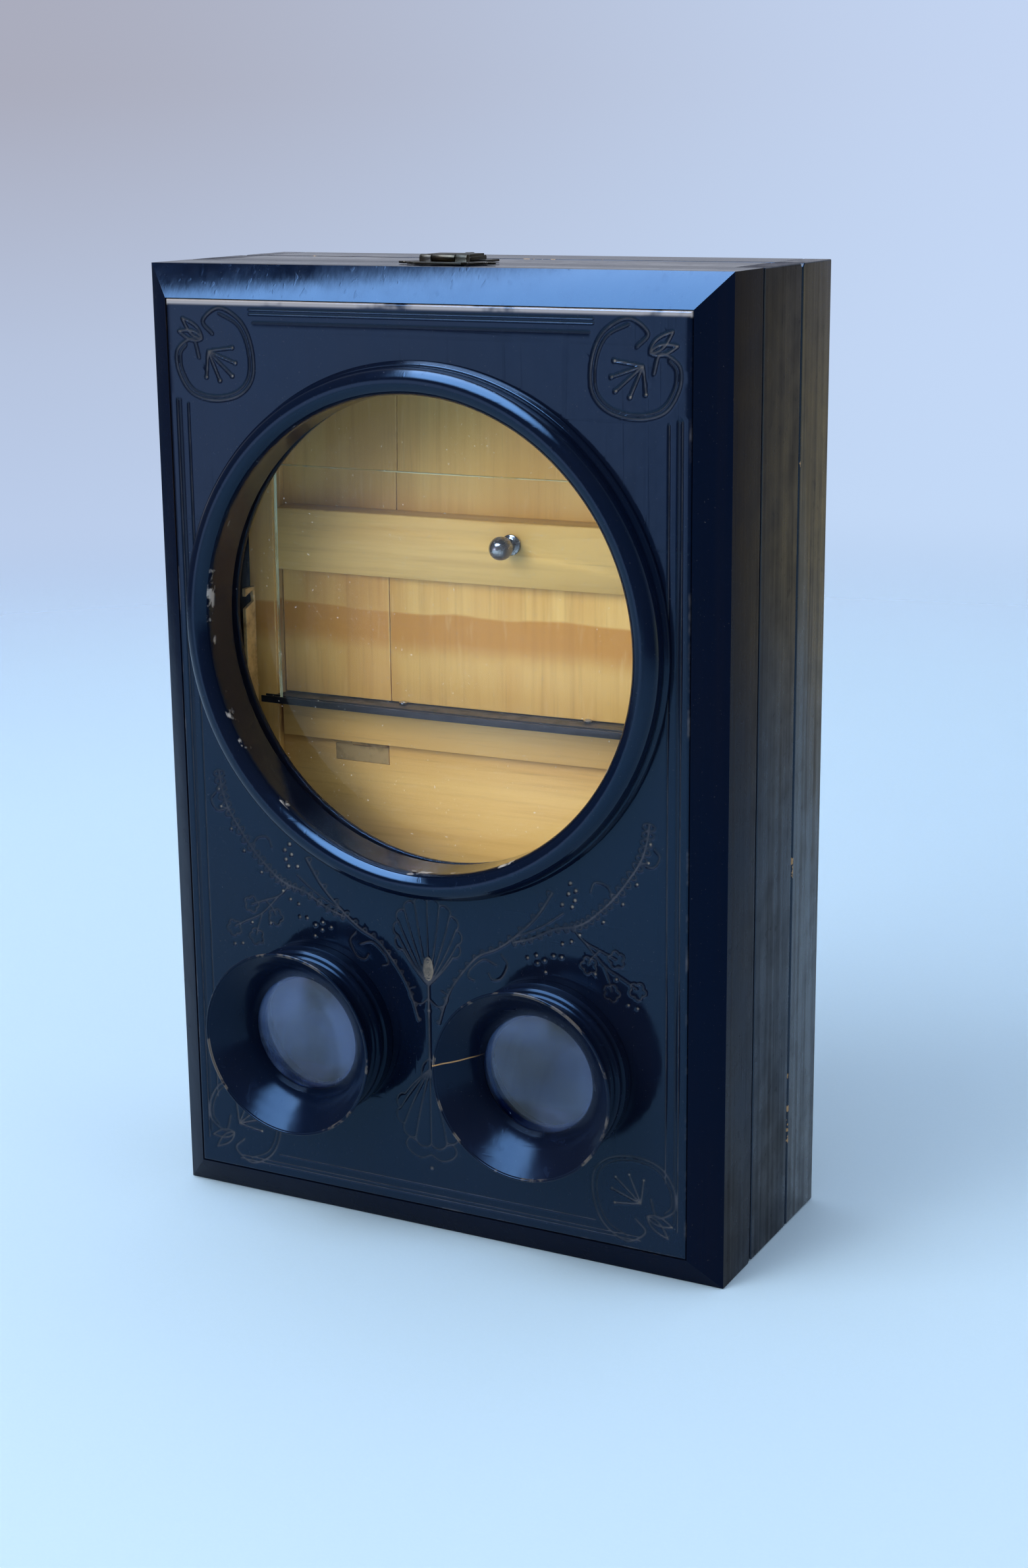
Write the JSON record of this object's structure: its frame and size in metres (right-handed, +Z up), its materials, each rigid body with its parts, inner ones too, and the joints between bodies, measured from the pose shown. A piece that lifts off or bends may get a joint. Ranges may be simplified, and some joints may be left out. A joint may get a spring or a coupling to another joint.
{
  "type": "graphoscope",
  "caption": "Folding graphoscope: ebonised three-tray box with a large reading lens over a pair of flared stereo eyepieces, a sliding easel inside and a clasp on top.",
  "frame": {"origin": "under the middle of the whole object, on the surface that it stands on", "axes": "+Z up along the longest side, the face with the lenses looks along -Y, +X to the right of someone facing the lenses"},
  "size_m": [0.218, 0.1132, 0.3435],
  "materials": {
    "lacquer": "ebonised wood under glossy black lacquer",
    "blond": "honey-coloured fine-grained wood, thin varnish",
    "glass": "polished clear glass",
    "bronze": "dark patinated brass",
    "brass": "aged brass",
    "steel": "polished nickelled steel",
    "black_metal": "black japanned sheet"
  },
  "bodies": {
    "base": {"base_wall_left": "lacquer", "base_wall_right": "lacquer", "base_wall_top": "lacquer", "base_wall_bottom": "lacquer", "base_board": "lacquer", "prop_rack": "lacquer", "tilt_hinge_left_base_leaf": "brass", "tilt_hinge_right_base_leaf": "brass"},
    "frame": {"frame_wall_left": "lacquer", "frame_wall_right": "lacquer", "frame_wall_top": "lacquer", "frame_wall_bottom": "lacquer", "floor_board_left": "blond", "floor_board_right": "blond", "slide_rail_left": "blond", "slide_rail_right": "blond", "tilt_hinge_left_frame_leaf": "brass", "tilt_hinge_right_frame_leaf": "brass", "front_hinge_left_frame_leaf": "brass", "front_hinge_right_frame_leaf": "brass", "catch_plate": "bronze", "stay_pivot_left": "brass", "stay_pivot_right": "brass", "prop_bracket_left": "brass", "prop_bracket_right": "brass"},
    "prop": {"prop_strut": "lacquer"},
    "lens_board": {"lens_board_moulding": "lacquer", "lens_panel": "lacquer", "lens_ring": "lacquer", "reading_lens": "glass", "lens_retainer": "lacquer", "eyecup_left": "lacquer", "eyecup_right": "lacquer", "eyepiece_lens_left": "glass", "eyepiece_lens_right": "glass", "eyepiece_retainer_left": "lacquer", "eyepiece_retainer_right": "lacquer", "front_hinge_left_lens_leaf": "brass", "front_hinge_right_lens_leaf": "brass", "clasp_plate": "bronze", "stay_stud_left": "brass", "stay_stud_right": "brass"},
    "hasp": {"hasp": "bronze"},
    "carriage": {"carriage_board": "blond", "easel_hinge_left_carriage_leaf": "brass", "easel_hinge_right_carriage_leaf": "brass"},
    "easel": {"easel_foot_rail": "blond", "easel_head_rail": "blond", "easel_board_left": "blond", "easel_board_right": "blond", "easel_hinge_left_easel_leaf": "brass", "easel_hinge_right_easel_leaf": "brass", "card_ledge": "black_metal", "ledge_screw_left": "steel", "ledge_screw_right": "steel", "easel_knob": "steel", "glass_plate": "glass"},
    "stay_left": {"stay_left": "brass"},
    "stay_right": {"stay_right": "brass"}
  },
  "joints": [
    {"name": "tilt_hinge", "type": "hinge", "parent": "base", "child": "frame", "pos_m": [0, 0.0296, 0.3384], "axis": [-1, 0, 0], "range_deg": [0, 30]},
    {"name": "prop_pivot", "type": "hinge", "parent": "frame", "child": "prop", "pos_m": [0, 0.0341, 0.2284], "axis": [-1, 0, 0], "range_deg": [0, 20]},
    {"name": "lens_board_hinge", "type": "hinge", "parent": "frame", "child": "lens_board", "pos_m": [0, -0.0039, 0.0016], "axis": [1, 0, 0], "range_deg": [0, 90]},
    {"name": "hasp_pivot", "type": "hinge", "parent": "lens_board", "child": "hasp", "pos_m": [0, -0.0151, 0.3423], "axis": [1, 0, 0], "range_deg": [0, 100]},
    {"name": "carriage_slide", "type": "slide", "parent": "frame", "child": "carriage", "axis": [0, 0, 1], "range_m": [-0.105, 0.05]},
    {"name": "easel_hinge", "type": "hinge", "parent": "carriage", "child": "easel", "pos_m": [0, 0.018, 0.1666], "axis": [1, 0, 0], "range_deg": [0, 90]},
    {"name": "stay_left_pivot", "type": "hinge", "parent": "frame", "child": "stay_left", "pos_m": [-0.0938, 0.0054, 0.09], "axis": [1, 0, 0], "range_deg": [0, 139]},
    {"name": "stay_right_pivot", "type": "hinge", "parent": "frame", "child": "stay_right", "pos_m": [0.0938, 0.0054, 0.09], "axis": [1, 0, 0], "range_deg": [0, 139]}
  ],
  "couplings": [
    {"joint": "prop_pivot", "follows": "tilt_hinge", "ratio": 0.6666},
    {"joint": "easel_hinge", "follows": "lens_board_hinge", "ratio": 1},
    {"joint": "stay_left_pivot", "follows": "lens_board_hinge", "ratio": 1.5429},
    {"joint": "stay_right_pivot", "follows": "lens_board_hinge", "ratio": 1.5429}
  ]
}
